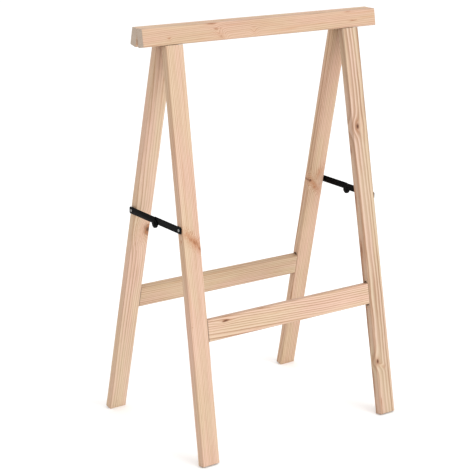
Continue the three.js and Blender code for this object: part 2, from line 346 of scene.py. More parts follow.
def stations(length):
    """Where a plank's rings of points are: close together round its ends."""
    ends = [END_RADIUS * (1 - math.cos(math.pi / 2 * i / END_STEPS)) for i in range(END_STEPS + 1)]
    straight = length - 2 * END_RADIUS
    count = round(straight / STATION)
    inner = [END_RADIUS + straight * i / count for i in range(1, count)]
    return ends + inner + [length - e for e in reversed(ends)]


def plank_ring(plank, station):
    """The points round a plank at one place along it."""
    length, width = plank.length(), plank.width()
    bite = max(END_RADIUS - min(station, length - station), 0)
    inset = END_RADIUS - math.sqrt(max(END_RADIUS ** 2 - bite ** 2, 0))
    radii = []
    for corner in range(4):
        wear = noise.noise(Vector((station / EDGE_WEAR["length"], corner * EDGE_WEAR["apart"],
                                   plank.seed)))
        radii.append(max(EDGE_RADIUS * (1 + EDGE_WEAR["share"] * wear) - inset,
                         EDGE_WEAR["least"]))
    ring = []
    for y, z, ny, nz in ring_outline(width - 2 * inset, plank.thickness - 2 * inset, radii):
        px, py = plank.at(station / length, (y + width / 2) / width)
        wave = noise.noise(Vector((station / RELIEF["along"], (y + z) / RELIEF["across"],
                                   plank.seed + RELIEF["apart"])))
        lift = -abs(wave) * RELIEF["depth"]
        if abs(nz) > 0.5:
            lift += knot_dent(plank, px, py, "out" if nz > 0 else "in")
        ring.append((px, py + ny * lift, z + nz * lift))
    return ring


def plank_mesh(plank):
    rings = [plank_ring(plank, station) for station in stations(plank.length())]
    return moved(loft(f"{plank.node}_pine", rings), plank.in_flat)


# ---- joints cut in the wood, in the flat drawing ----

LEAD = {"length": 1.5, "inset": 0.9}  # the chamfers at a tenon's end
LEG_TENON = {"block": 24, "spare": 1.7}  # its length with its root, and the room at its tip
RAIL_TENON = {"block": 20, "spare": 1.3, "ease": 0.4, "mortise": 18}
SLOT_STEPS = 12
BLANK_TOP = 18.0  # a board's height over the hinge axis before it is planed
PLANE_STEPS = 6
BEYOND = 3  # how far a cutter reaches past the wood or steel that it cuts


def tenon(along, x, y, base, tip):
    """A block with a chamfered end, along z of its own axes."""
    (ax, bx), (ay, by) = x, y
    shoulder = tip - math.copysign(LEAD["length"], tip - base)
    rings = [[(ax + d, ay + d, z), (bx - d, ay + d, z), (bx - d, by - d, z), (ax + d, by - d, z)]
             for z, d in ((base, 0), (shoulder, 0), (tip, LEAD["inset"]))]
    return moved(loft("tenon", rings), along)


def slot(along, x, y, low, high):
    """A round-ended mortise cutter round a tenon of these spans, along z of its own axes."""
    half = (y[1] - y[0]) / 2 + GAP
    outline = (arc((x[1] + GAP, middle(y)), half, -90, 90, SLOT_STEPS)
               + arc((x[0] - GAP, middle(y)), half, 90, 270, SLOT_STEPS))
    return moved(prism("slot", outline, low, high), along)


def leg_tenon(end, side):
    """The spans x and y of the tenon at the top of a leg, and the height of its tip."""
    shoulder = board_box(end)[2][1]
    points = flat_points(f"{end}_{side}_leg", end)
    x, out, down = spans([p for p in points if p[2] < shoulder])
    return x, (-out[1], -out[0]), -down[0]


def rail_tenon(end):
    """How far the rail's tenons reach along x, and their spans of y and of height."""
    points = flat_points(f"{end}_rail", end)
    reach = max(x for x, _, _ in points)
    _, out, down = spans([p for p in points if p[0] > reach - 1])
    return reach, (-out[1], -out[0]), (-down[1], -down[0])


def hinge_screw_place(side, end, number):
    """The middle of a hinge screw's head, and the screw's length."""
    x, out, down = flat_box(f"{side}_hinge_{end}_screw_{number}", end)
    return Vector((middle(x), -out[0], -middle(down))), out[1] - out[0]


def planed_off(end):
    """What is planed off a board's blank, as (height, y): the bevel above the hinge, which is
    upright when open, and the top, which is level then, both with eased edges."""
    out = board_box(end)[1]
    top = cad_box[1][2] / MM - HINGE_Z
    high = top - EDGE_RADIUS
    cos, sin = math.cos(LEAN), math.sin(LEAN)

    def when_open(distance, height):
        return height * cos - distance * sin, -distance * cos - height * sin

    lean = math.degrees(LEAN)
    outer = when_open((out[1] - EDGE_RADIUS - high * sin) / cos, high)
    inner = when_open(out[0] * cos + EDGE_RADIUS, high)
    behind = 5
    return [(0, behind), (0, -out[0]), *arc(inner, EDGE_RADIUS, 90 - lean, -lean, PLANE_STEPS),
            *arc(outer, EDGE_RADIUS, -lean, -90, PLANE_STEPS), (outer[0], -out[1] - BEYOND),
            (BLANK_TOP + BEYOND, -out[1] - BEYOND), (BLANK_TOP + BEYOND, behind)]


def cut_board(obj, end):
    """Planes a top board, and cuts its mortises and the seats of its hinges."""
    x, out, down = board_box(end)
    inner = -out[0]
    boolean(obj, moved(prism("planed off", planed_off(end), x[0] - 1, x[1] + 1), ALONG_X))
    for side in SIDES:
        tenon_x, tenon_y, tip = leg_tenon(end, side)
        boolean(obj, slot(Matrix(), tenon_x, tenon_y, -down[1] - 1, tip + LEG_TENON["spare"]))
        leaf_x, _, leaf_down = flat_box(f"{side}_hinge_{end}_leaf", end)
        ends = (leaf_x[0] - GAP, leaf_x[1] + GAP)
        boolean(obj, block("recess", ends, (inner - LEAF["thickness"] - GAP, BEYOND),
                           (-leaf_down[1] - GAP, 1)))
        boolean(obj, moved(turned("barrel", rod(LEAF["knuckle"] + GAP, *ends)), ALONG_X))
        for number in (1, 2):
            place, length = hinge_screw_place(side, end, number)
            hole = turned("hole", rod(HINGE_SCREW["shank"] + GAP, -1, length + 1), 24)
            boolean(obj, moved(hole, outwards(place)))
    return obj


def cut_leg(obj, end, side):
    """Adds a leg's tenon, and cuts the mortise for its rail."""
    x, y, tip = leg_tenon(end, side)
    boolean(obj, tenon(Matrix(), x, y, tip - LEG_TENON["block"], tip), "UNION")
    reach, rail_y, high = rail_tenon(end)
    depths = (reach - RAIL_TENON["mortise"], reach + RAIL_TENON["spare"])
    boolean(obj, slot(ALONG_X, high, rail_y, *sorted(flat_side(side, end) * d for d in depths)))
    return obj


def cut_rail(obj, end):
    """Adds a rail's tenons."""
    reach, y, high = rail_tenon(end)
    x = (high[0] + RAIL_TENON["ease"], high[1] - RAIL_TENON["ease"])
    for sign in (-1, 1):
        boolean(obj, tenon(ALONG_X, x, y, sign * (reach - RAIL_TENON["block"]), sign * reach),
                "UNION")
    return obj


# ---- materials ----

class Shader:
    """Short calls for one material's nodes. Values may be numbers, tuples or sockets."""

    def __init__(self, name):
        self.material = bpy.data.materials.new(name)
        self.material.use_nodes = True
        self.tree = self.material.node_tree
        self.surface = self.tree.nodes["Principled BSDF"]

    def put(self, socket, value):
        if isinstance(value, bpy.types.NodeSocket):
            self.tree.links.new(value, socket)
        else:
            socket.default_value = value

    def dress(self, settings):
        """Sets the surface's own inputs."""
        for name, value in settings.items():
            self.put(self.surface.inputs[name], value)

    def node(self, kind, settings=None, values=(), **inputs):
        made = self.tree.nodes.new(f"ShaderNode{kind}")
        for key, value in (settings or {}).items():
            setattr(made, key, value)
        for key, value in (*enumerate(values), *inputs.items()):
            self.put(made.inputs[key], value)
        return made

    def math(self, operation, *values, clamp=False):
        settings = {"operation": operation, "use_clamp": clamp}
        return self.node("Math", settings, values).outputs[0]

    def vector(self, operation, *values):
        made = self.node("VectorMath", {"operation": operation}, values)
        return made.outputs["Value" if operation == "DOT_PRODUCT" else "Vector"]

    def chain(self, operation, values):
        result, *others = values
        for value in others:
            result = self.math(operation, result, value)
        return result

    def total(self, *values):
        return self.chain("ADD", values)

    def times(self, *values):
        return self.chain("MULTIPLY", values)

    def greatest(self, *values):
        return self.chain("MAXIMUM", values)

    def weighted(self, weights, **parts):
        return [self.times(part, weights[name]) for name, part in parts.items()]

    def root_of_squares(self, *values):
        return self.math("SQRT", self.total(*[self.times(value, value) for value in values]))

    def hump(self, value, centre, width):
        """1 where the value is at the centre, falling to nothing a few widths away."""
        off = self.math("DIVIDE", self.total(value, -centre), width)
        return self.math("EXPONENT", self.times(off, off, -1.0))

    def noise(self, place, scale=1.0, detail=2.0, roughness=0.5):
        """Smooth noise about zero, from roughly -0.5 to 0.5."""
        made = self.node("TexNoise", Vector=place, Scale=scale, Detail=detail, Roughness=roughness)
        return self.math("SUBTRACT", made.outputs["Fac"], 0.5)

    def between(self, value, low, high):
        """0 below low, 1 above high, and smooth between them."""
        made = self.node("MapRange", {"interpolation_type": "SMOOTHSTEP"}, (value, low, high))
        return made.outputs["Result"]

    def mix(self, share, first, second):
        made = self.node("Mix", {"data_type": "RGBA"}, Factor=share)
        for index, value in ((6, first), (7, second)):
            self.put(made.inputs[index], value)
        return made.outputs[2]

    def profile(self, value, stops):
        """A number that follows the stops (place, height)."""
        made = self.node("ValToRGB", Fac=value)
        ramp = made.color_ramp
        while len(ramp.elements) < len(stops):
            ramp.elements.new(0.5)
        for element, (place, height) in zip(ramp.elements, stops):
            element.position = place
            element.color = (height, height, height, 1)
        return made.outputs["Color"]

    def bump(self, height, depth):
        """Relief on the surface; `height` runs from about 0 to 1, and `depth` is in mm."""
        made = self.node("Bump", Height=height, Strength=BUMP_STRENGTH, Distance=depth * MM)
        self.dress({"Normal": made.outputs["Normal"]})


def colour(red, green, blue):
    """A linear colour from sRGB values of 0 to 255."""
    def linear(value):
        value /= 255
        return value / 12.92 if value <= 0.04045 else ((value + 0.055) / 1.055) ** 2.4
    return (linear(red), linear(green), linear(blue), 1.0)


BUMP_STRENGTH = 0.6
GRAIN_DEPTH = 0.08
# earlywood, latewood, and the pink and straw patches between them
WOOD_TONES = ((208, 180, 155), (152, 109, 76), (215, 173, 151), (205, 182, 143))
STREAK = colour(186, 143, 110)
END_GRAIN = colour(166, 150, 134)
END_DARK = colour(116, 94, 78)
END_LIGHT = colour(200, 186, 172)
KNOT_RED = colour(168, 108, 66)
KNOT_DARK = colour(74, 46, 30)

# How dark a year is from its start to its end, in narrow years and in broad ones.
FINE_RINGS = [(0.0, 0.55), (0.08, 0.08), (0.4, 0.1), (0.72, 0.42), (0.92, 1.0), (1.0, 0.55)]
BROAD_RINGS = [(0.0, 0.4), (0.12, 0.05), (0.36, 0.12), (0.62, 0.7), (0.86, 1.0), (1.0, 0.4)]
BROAD_YEAR = 6  # mm
YEARS_BEFORE = 50.0  # keeps the count of years above zero
UNEVEN = {"radius": 17.0, "years": 1.8}  # good and bad years in a row
WANDERS = {"y": (210, 0.0), "z": (260, 5.0)}  # of the pith line: its length and a seed

# Noise in the wood: its size in mm along and across the grain, and where it starts and is full.
MARKS = {
    "ripples": dict(size=(55, 16)),
    "outlines": dict(size=(7, 4), detail=3),
    "patches": dict(size=(170, 26), shows=(-0.25, 0.25)),
    "tints": dict(size=(190, 34), scale=1.4, shows=(-0.2, 0.2)),
    "streaks": dict(size=(150, 4.5), detail=3, roughness=0.6, shows=(0.0, 0.24)),
    "fibres": dict(size=(34, 0.6), detail=3, roughness=0.6, shows=(0.0, 0.3)),
    "canals": dict(size=(10, 0.34), detail=1, shows=(0.19, 0.27)),
    "flecks": dict(size=(11, 1.5), detail=3, roughness=0.6),
    "sawing": dict(size=(30, 1.3), detail=3, roughness=0.7, shows=(-0.15, 0.3)),
}
# The share of its full colour that each mark keeps.
SHARES = {"early": 0.5, "fibres": 0.42, "painted_arris_shade": 0.4, "canals": 0.5, "rim": 0.55,
          "end rings": 0.55, "end sawing": 0.8, "end": 0.92}
HEART = (0.6, 1.1)  # where a knot's heart thins out, in knot sizes
DARK_RIM = (0.95, 0.14)  # where its dark rim is, and how wide
BURIED = 0.6  # how fast a knot ends past its depth
GLOW = {"plain": 0.62, "late": 0.4, "flecks": 2.6}
# On the sides a painted shade darkens the narrow faces; on the ends the end grain shows.
ON_SHADED_SIDES, ON_ENDS = (0.5, 0.9), (0.6, 0.9)  # how squarely a face has to look there
ROUGHNESS = {"plain": 0.6, "late": -0.1, "end": 0.2, "fibres": 0.12}
HEIGHTS = {"late": 0.3, "fibres": 0.8, "canals": -0.6, "sawing": 3.0}
# Painted shade: a darker line along each rounded edge of a plank.
ARRIS_SHADE = (1.9, 0.3)  # from a plank's edge, where its darker line starts and is full
WIDE_FACES = ("both", "out", "in")


class Wood(Shader):
    """One plank's wood, in the plank's own axes and in mm."""

    def __init__(self, plank):
        super().__init__(f"pine_{plank.node}")
        self.plank = plank
        self.seed = plank.seed * 0.37
        coordinates = self.node("TexCoord")
        matrix = Matrix.Scale(MM, 4) @ FLAT[plank.end] @ plank.in_flat
        mapping = self.node("Mapping", {"vector_type": "TEXTURE"},
                            Vector=coordinates.outputs["Object"], Scale=matrix.to_scale(),
                            Location=matrix.to_translation(), Rotation=matrix.to_euler())
        self.place = mapping.outputs["Vector"]
        self.x, self.y, self.z = self.node("SeparateXYZ", Vector=self.place).outputs
        self.normal = coordinates.outputs["Normal"]
        self.turn = FLAT[plank.end].to_3x3() @ plank.in_flat.to_3x3()

    def mark(self, name):
        """The noise of one of the MARKS, with a place of its own on each plank."""
        settings = {key: MARKS[name][key] for key in MARKS[name] if key not in ("size", "shows")}
        along, across = MARKS[name]["size"]
        scaled = self.vector("MULTIPLY", self.place, (1 / along, 1 / across, 1 / across))
        offset = (self.seed, self.seed * 1.7, self.seed * 0.6)
        return self.noise(self.vector("ADD", scaled, offset), **settings)

    def shown(self, name, value=None):
        """How strongly one of the MARKS shows, from 0 to 1."""
        return self.between(self.mark(name) if value is None else value, *MARKS[name]["shows"])

    def line(self, value, offset=0.0):
        """A place for noise that changes with one value only."""
        return self.node("CombineXYZ", X=value, Y=self.seed + offset).outputs[0]

    def wander(self, axis):
        length, offset = WANDERS[axis]
        drift = self.noise(self.line(self.math("DIVIDE", self.x, length), offset), detail=1)
        return self.times(drift, self.plank.growth["wander"])

    def facing(self, axis):
        """1 on faces that look along one of the plank's axes, and 0 on faces beside it."""
        return self.math("ABSOLUTE", self.vector("DOT_PRODUCT", self.normal,
                                                 self.turn.col[axis].normalized()))

    def from_knot(self, knot, outlines):
        """How far a point is from a knot, sideways in mm and in all directions in knot sizes."""
        on_wide = knot["face"] in WIDE_FACES
        across, depth = (self.y, self.z) if on_wide else (self.z, self.y)
        half = (self.plank.thickness if on_wide else self.plank.width()) / 2
        off_x = self.total(self.x, -knot["x"])
        off = self.total(across, -knot["y"], self.times(off_x, -knot["skew"]))
        off_along = self.math("DIVIDE", off_x, knot["stretch"])
        reach = self.math("DIVIDE", self.root_of_squares(off_along, off), knot["size"])
        reach = self.total(reach, self.times(outlines, knot["ragged"]))
        if knot["face"] != "both":
            sign = 1 if knot["face"] in ("out", "right") else -1
            buried = self.total(half, self.times(depth, -sign), -knot["depth"])
            reach = self.total(reach, self.times(self.greatest(buried, 0.0), BURIED))
        return off, reach


def knot_marks(s):
    """How the knots bend the rings, sideways and outwards, and the marks that they draw."""
    outlines = s.mark("outlines")
    shifts, pushes, hearts, glows, rims, darks = [], [], [], [], [], []
    for knot in s.plank.growth["knots"]:
        off, reach = s.from_knot(knot, outlines)
        bend = s.hump(reach, 0.0, knot["spread"])
        if knot["face"] in WIDE_FACES:
            shifts.append(s.times(off, bend, -knot["flow"]))
        pushes.append(s.times(bend, knot["push"]))
        core = s.math("SUBTRACT", 1.0, s.between(reach, *HEART))
        hearts.append(s.times(core, knot["strength"]))
        glows.append(s.times(s.hump(reach, 0.0, knot["halo"]), knot["glow"]))
        rims.append(s.times(s.hump(reach, *DARK_RIM), SHARES["rim"] * knot["strength"]))
        darks.append(s.times(s.hump(reach, 0.0, knot["core"]), knot["centre"]))
    drawn = [s.greatest(*marks) for marks in (hearts, glows, rims, darks)]
    return shifts, pushes, drawn


def growth_rings(s, shifts, pushes):
    """How far a point is into the dark part of its year, and how strongly its year shows."""
    growth = s.plank.growth
    metres = s.math("DIVIDE", s.x, 1000.0)
    ring_y = s.total(s.y, s.times(metres, metres, growth["bow"]), s.wander("y"),
                     s.times(s.mark("ripples"), growth["ripple"]), *shifts)
    ring_z = s.total(s.z, s.wander("z"))
    pith_y, pith_z = growth["pith"]
    slope_y, slope_z = growth["slope"]
    radius = s.root_of_squares(s.total(ring_y, -pith_y, s.times(s.x, -slope_y)),
                               s.total(ring_z, -pith_z, s.times(s.x, -slope_z)))
    radius = s.total(radius, s.total(*pushes))
    uneven = s.noise(s.line(s.math("DIVIDE", radius, UNEVEN["radius"])))
    years = s.total(s.math("DIVIDE", radius, growth["ring"]), s.times(uneven, UNEVEN["years"]),
                    YEARS_BEFORE)
    rings = BROAD_RINGS if growth["ring"] > BROAD_YEAR else FINE_RINGS
    latewood = s.profile(s.math("FRACT", years), rings)
    year = s.line(s.math("FLOOR", years))
    strong_year = s.node("TexWhiteNoise", {"noise_dimensions": "2D"}, Vector=year).outputs["Value"]
    contrast = s.total(s.times(s.shown("patches"), 0.5), s.times(strong_year, 0.5), 0.35)
    return latewood, s.times(contrast, growth["contrast"])


def pine(plank):
    """Solid pine: rings round a pith line, knots that bend them, fibres and end grain, with painted
    shade on the narrow faces and along the edges.
    """
    growth = plank.growth
    s = Wood(plank)
    shifts, pushes, (heart, glow, rim, dark) = knot_marks(s)
    latewood, contrast = growth_rings(s, shifts, pushes)
    fibre, sawn, canals = s.mark("fibres"), s.mark("sawing"), s.shown("canals")

    early, late, pink, straw = [
        colour(*[value * part for value, part in zip(wood_tone, growth["tone"])])
        for wood_tone in WOOD_TONES]
    base = s.mix(s.shown("tints"), pink, straw)
    base = s.mix(SHARES["early"], base, early)
    base = s.mix(s.times(s.shown("streaks"), growth["streaks"]), base, STREAK)
    wood = s.mix(s.math("MULTIPLY", latewood, contrast, clamp=True), base, late)
    wood = s.mix(s.times(s.shown("fibres", fibre), SHARES["fibres"]), wood, late)
    # Painted shade: darkens each plank towards the latewood colour along its rounded edges.
    arris_shade = [s.between(s.math("ABSOLUTE", across), size / 2 - ARRIS_SHADE[0], size / 2 - ARRIS_SHADE[1])
             for across, size in ((s.y, plank.width()), (s.z, plank.thickness))]
    wood = s.mix(s.times(*arris_shade, SHARES["painted_arris_shade"]), wood, late)
    # Painted shade: the narrow faces are darkened towards the latewood colour, as if less lit.
    wood = s.mix(s.times(s.between(s.facing(1), *ON_SHADED_SIDES), growth["sides"]), wood, late)
    wood = s.mix(s.times(canals, SHARES["canals"]), wood, KNOT_RED)
    streaked = s.total(GLOW["plain"], *s.weighted(GLOW, late=latewood, flecks=s.mark("flecks")))
    wood = s.mix(s.math("MULTIPLY", glow, streaked, clamp=True), wood, KNOT_RED)
    wood = s.mix(heart, wood, KNOT_RED)
    wood = s.mix(s.greatest(rim, dark), wood, KNOT_DARK)

    # End grain drinks the light: greyer and darker, with the rings still showing.
    cut_end = s.between(s.facing(0), *ON_ENDS)
    end_colour = s.mix(s.times(latewood, SHARES["end rings"]), END_GRAIN, END_DARK)
    end_colour = s.mix(s.times(s.shown("sawing", sawn), SHARES["end sawing"]), end_colour,
                       END_LIGHT)
    wood = s.mix(s.times(cut_end, SHARES["end"]), wood, end_colour)

    rough = s.total(ROUGHNESS["plain"],
                    *s.weighted(ROUGHNESS, late=latewood, end=cut_end, fibres=fibre))
    s.dress({"Base Color": wood, "Roughness": rough, "Specular IOR Level": 0.35})
    heights = s.weighted(HEIGHTS, late=latewood, fibres=fibre, canals=canals,
                         sawing=s.times(sawn, cut_end))
    s.bump(s.total(*heights), GRAIN_DEPTH)
    return s.material


def black_steel():
    """Satin black paint with a fine orange-peel grain and a little wear."""
    s = Shader("black_paint")
    place = s.node("TexCoord").outputs["Object"]
    grain = s.noise(place, scale=2600, detail=2)
    patches = s.noise(place, scale=90, detail=3)
    black, worn = (0.002, 0.002, 0.0024, 1), (0.004, 0.004, 0.004, 1)
    s.dress({"Base Color": s.mix(s.between(patches, -0.1, 0.25), black, worn),
             "Roughness": s.total(0.5, s.times(patches, 0.25)), "Specular IOR Level": 0.04})
    s.bump(grain, 0.02)
    return s.material


def zinc(name, tint):
    """Zinc plate: soft patches of tone, fine rolling marks and a dull shine."""
    s = Shader(name)
    place = s.node("TexCoord").outputs["Object"]
    patches = s.noise(place, scale=260, detail=3)
    drawn = s.noise(s.vector("MULTIPLY", place, (300.0, 4200.0, 4200.0)), detail=2)
    dull = tuple(part * 0.72 for part in tint[:3]) + (1,)
    s.dress({"Base Color": s.mix(s.between(patches, -0.2, 0.25), tint, dull), "Metallic": 1.0,
             "Roughness": s.total(0.36, s.times(patches, 0.3), s.times(drawn, 0.1))})
    s.bump(drawn, 0.012)
    return s.material


# ---- how each plank grew ----

# What a knot has unless its row says otherwise.
KNOT = {
    "face": "both",  # where it shows: both wide faces, out, in, left or right
    "depth": 7.0,  # how far in it reaches, if it shows on one face, in mm
    "stretch": 1.5,  # its length along the grain over its width
    "skew": 0.0,  # how far it slants across the grain
    "ragged": 0.5,  # how uneven its outline is
    "strength": 1.0,  # how red its heart is
    "core": 0.5, "centre": 0.6,  # its dark middle: how wide and how dark
    "halo": 2.0, "glow": 0.4,  # the warm wood round it: how wide and how warm
    "spread": 2.6,  # how far off it bends the rings,
    "flow": 0.75, "push": 0.0,  # how much it bends them sideways, and outwards in mm
}


def knot(x, y, size, **traits):
    """A knot at (x, y) on a plank's wide face, or at (x, z) on its edge."""
    return {**KNOT, "x": x, "y": y, "size": size, **traits}


def grown(*knots, **traits):
    """How a plank grew (its streaks and so on), and how much painted shade darkens its sides."""
    return {"streaks": 0.5, "sides": 0.28, **traits, "knots": knots}


GROWTH = {
    "front_top_board": grown(
        knot(-203, -7.5, 1.9, stretch=1.1, strength=0.3, push=2, centre=0.25, face="out"),
        knot(-96, -12.5, 3.6, stretch=1.3, strength=0.1, glow=0.25, push=11, spread=3.2, flow=0.2,
             centre=0.2, skew=-0.7, face="out"),
        knot(-114, 10.5, 1.1, stretch=8, strength=0.55, glow=0.3, push=1, face="out"),
        knot(-103, 1.5, 0.8, stretch=8, strength=0.2, glow=0.3, centre=0.1),
        knot(-25, -6.5, 4, stretch=0.7, strength=0.0, glow=0.18, push=4, centre=0.0),
        knot(190, 10, 0.8, stretch=9, strength=0.4, glow=0.3, push=1, centre=0.4),
        knot(203, -6.5, 0.9, stretch=9, strength=0.45, glow=0.3, push=1.5, skew=0.12, centre=0.4),
        pith=(-75, -30), slope=(0.02, 0.01), ring=2.9, contrast=0.72, wander=3, ripple=1.3, bow=20,
        tone=(0.945, 0.935, 0.94), sides=0.0, streaks=0.8),
    "rear_top_board": grown(
        knot(88, 0.5, 4.5, stretch=1.2, strength=0.8, glow=0.45, push=5),
        knot(-150, -12.5, 2.2, stretch=1.4, strength=0.8, push=2),
        pith=(70, -40), slope=(-0.02, 0.02), ring=3.2, contrast=0.7, wander=4, ripple=0.8, bow=-15,
        tone=(0.975, 0.97, 0.965), sides=0.0),
    "front_rail": grown(
        knot(-146, 11.5, 1.9, stretch=4.0, strength=0.9, glow=0.3, push=1.5, skew=0.06, centre=1.0,
             core=0.8, ragged=0.3),
        pith=(-60, -35), slope=(-0.06, 0.02), ring=3.6, contrast=1.0, wander=4, ripple=1.7, bow=-90,
        tone=(1.0, 1.015, 1.045)),
    "rear_rail": grown(
        knot(-60, 6, 3.2, stretch=1.3, strength=0.7, push=3, face="out"),
        pith=(75, 30), slope=(0.02, 0.0), ring=3.1, contrast=1.0, wander=3, ripple=0.9, bow=25,
        tone=(0.97, 0.995, 1.0)),
    "front_left_leg": grown(
        knot(-27, 6, 5.2, stretch=2.1, strength=0.3, glow=1.0, skew=0.85, centre=0.3, push=14,
             flow=0.3, spread=2.0, ragged=2.4, halo=2.3, face="out"),
        knot(-15, 15, 2.2, strength=0.5, glow=0.7, skew=0.6, push=2, ragged=1.6, face="out"),
        knot(-32, 1.5, 1.7, stretch=1.4, strength=0.5, glow=0.5, push=1.5, centre=0.5, face="left"),
        knot(118, -14, 0.8, strength=0.5, glow=0.2, push=0.5),
        knot(210, 3, 3.4, stretch=1.3, strength=0.6, push=3, face="in"),
        pith=(-70, -28), slope=(0.01, 0.01), ring=2.7, contrast=0.75, wander=4, ripple=1.2, bow=18,
        tone=(0.99, 1.0, 1.025)),
    "front_right_leg": grown(
        knot(-184, -6, 3.4, glow=0.6, push=7, spread=3.6, flow=0.9, centre=1.0, core=1.0),
        knot(262, -13, 2.8, glow=0.5, push=5, spread=3.8, flow=0.8, centre=1.0, core=0.9,
             face="out", depth=9),
        knot(272, -4, 3.0, stretch=1.0, strength=0.0, glow=0.35, push=4, skew=0.8, centre=0.0,
             face="out"),
        knot(342, -13, 1.1, stretch=8, strength=0.6, glow=0.3, push=1.0, centre=0.4),
        knot(-140, -4, 2.0, stretch=4.5, strength=0.4, centre=0.7, face="left"),
        knot(-48, -4, 1.9, stretch=13, strength=0.4, centre=0.7, face="left"),
        knot(46, -1, 2.4, stretch=7, strength=0.5, centre=0.8, face="left"),
        pith=(-58, -20), slope=(0.006, 0.01), ring=8.6, contrast=1.08, wander=7, ripple=4.2, bow=25,
        tone=(0.955, 0.985, 1.015)),
    "rear_left_leg": grown(
        knot(-12, -14, 8.2, stretch=1.3, strength=0.75, glow=0.6, centre=0.9, push=11, spread=2.4,
             ragged=0.9, face="in"),
        pith=(30, 44), slope=(0.016, -0.014), ring=2.9, contrast=0.72, wander=5, ripple=1.6,
        bow=-25, tone=(1.015, 1.04, 1.075)),
    "rear_right_leg": grown(
        knot(-55, 15.5, 2.6, stretch=1.15, glow=0.6, push=4, spread=3.5, centre=1.0, core=0.8),
        knot(-45, 5, 4.8, stretch=2.2, strength=0.15, glow=0.9, push=10, flow=0.2, skew=-0.8,
             centre=0.0, spread=2.2, ragged=2.0, face="in"),
        knot(-68, -3, 4.2, stretch=2.0, strength=0.0, glow=0.6, push=4, flow=0.2, skew=0.4,
             centre=0.0, spread=2.2, ragged=2.0, face="in"),
        pith=(-66, 36), slope=(-0.01, 0.0), ring=3.0, contrast=0.95, wander=4, ripple=1.4, bow=20,
        tone=(0.995, 1.005, 1.015)),
}


# ---- the wood ----

def install(obj, matrix, node, body, slot_name, material):
    """Puts a piece built in millimetres in its CAD node's place, with its finish."""
    moved(obj, Matrix.Scale(MM, 4) @ matrix)
    obj.data.materials.clear()
    obj.data.materials.append(material)
    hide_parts(node)
    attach(obj, body)


def leg_plank(end, side):
    node = f"{end}_{side}_leg"
    points = flat_points(node, end)
    _, out, (_, foot) = spans(points)
    shoulder = board_box(end)[2][1]
    top = min(d for _, _, d in points if d > shoulder)
    top_x, foot_x = x_span_at(points, top), x_span_at(points, foot)
    slope = (middle(foot_x) - middle(top_x)) / (foot - top)
    origin = ((middle(top_x) + middle(foot_x)) / 2, -middle(out), -(top + foot) / 2)
    half, width = (foot - top) / 2, (top_x[1] - top_x[0]) / 2
    skew = slope * width
    corners = [(-half - skew, -width), (half - skew, -width), (half + skew, width),
               (-half + skew, width)]
    return Plank(node, end, origin, (slope, 0, -1), (1, 0, slope), corners, out[1] - out[0])


def level_plank(node, end, half_bottom, half_top, top=None):
    """A board or rail, by half its length at the bottom and at the top."""
    _, out, down = flat_box(node, end)
    down = (-top if top else down[0], down[1])
    width = (down[1] - down[0]) / 2
    corners = [(-half_bottom, -width), (half_bottom, -width), (half_top, width),
               (-half_top, width)]
    return Plank(node, end, (0, -middle(out), -middle(down)), (1, 0, 0), (0, 0, 1), corners,
                 out[1] - out[0])


def board_plank(end):
    """A top board's blank, before its top is planed to the bevel and the level."""
    node = f"{end}_top_board"
    half = flat_box(node, end)[0][1]
    return level_plank(node, end, half, half, BLANK_TOP)


def rail_plank(end):
    """A rail's visible part, from leg to leg."""
    node = f"{end}_rail"
    leg = leg_plank(end, "right" if end == "front" else "left")
    down = flat_box(node, end)[2]
    origin, along, across = (leg.in_flat.col[i].to_3d() for i in (3, 0, 1))
    edge = origin - across * leg.width() / 2
    half_top, half_bottom = (edge.x + along.x * (-d - edge.z) / along.z - GAP for d in down)
    return level_plank(node, end, half_bottom, half_top)


def add_wood(plank, cutter, *details):
    piece = cutter(plank_mesh(plank), plank.end, *details)
    install(shade(piece), FLAT[plank.end], plank.node, f"{plank.end}_frame", "pine", pine(plank))


# ---- the steel ----

def link_mesh(name, to_middle, inner, outer):
    """A stay link, drawn from its pivot towards the rivet, with its thickness along z."""
    half, past, corner, ear = (LINK[key] for key in ("half", "past", "corner", "ear"))
    low = math.degrees(math.asin((half - LINK["drop"]) / ear))
    high = math.degrees(math.acos(LINK["overlap"] / ear))
    outline = (arc((corner - past, half - corner), corner, 90, 180, 10)
               + arc((corner - past, corner - half), corner, 180, 270, 10)
               + arc((to_middle, -LINK["drop"]), ear, 180 + low, 360 + high, 44)
               + [(to_middle + LINK["overlap"], half)])
    obj = bevelled(prism(name, outline, inner, outer), LINK["edge"])
    for x, y, radius in ((0, 0, STAY_SCREW["shank"]), (to_middle, -LINK["drop"], RIVET["shank"])):
        hole = turned("hole", rod(radius + GAP, inner - 1, outer + 1))
        boolean(obj, moved(hole, Matrix.Translation((x, y, 0))))
    return obj


def dome(radius, base, height):
    """The outline of a domed head: a short upright edge, then a quarter ellipse to its middle."""
    upright, chamfer, steps = DOME["upright"], DOME["chamfer"], DOME["steps"]
    points = [(radius - chamfer, base), (radius, base + chamfer), (radius, base + upright)]
    for i in range(1, steps):
        t = math.pi / 2 * i / steps
        points.append((radius * math.cos(t), base + upright + (height - upright) * math.sin(t)))
    return points + [(0, base + height)]


def cross_recess(obj, top, reach, depth, width):
    """Cuts a cross recess in a screw's head, with its arms tapering downwards."""
    foot = 0.35 * reach
    for turn in (0, 90):
        arm = prism("arm", [(-reach, top + 0.5), (reach, top + 0.5), (foot, top - depth),
                            (-foot, top - depth)], -width / 2, width / 2)
        turning = Matrix.Rotation(math.radians(turn + RECESS_TURN), 4, "Z")
        boolean(obj, moved(arm, turning @ axes(*Z_OUTWARDS)))
    return obj


def pivot_screw_mesh(name, tip, base, top):
    shank = STAY_SCREW["shank"]
    outline = [(0, tip), (shank * 0.55, tip + STAY_SCREW["point"]),
               (shank, tip + STAY_SCREW["taper"]), (shank, base),
               *dome(STAY_SCREW["head"], base, top - base)]
    return cross_recess(turned(name, outline), top, 1.5, 1.0, 0.75)


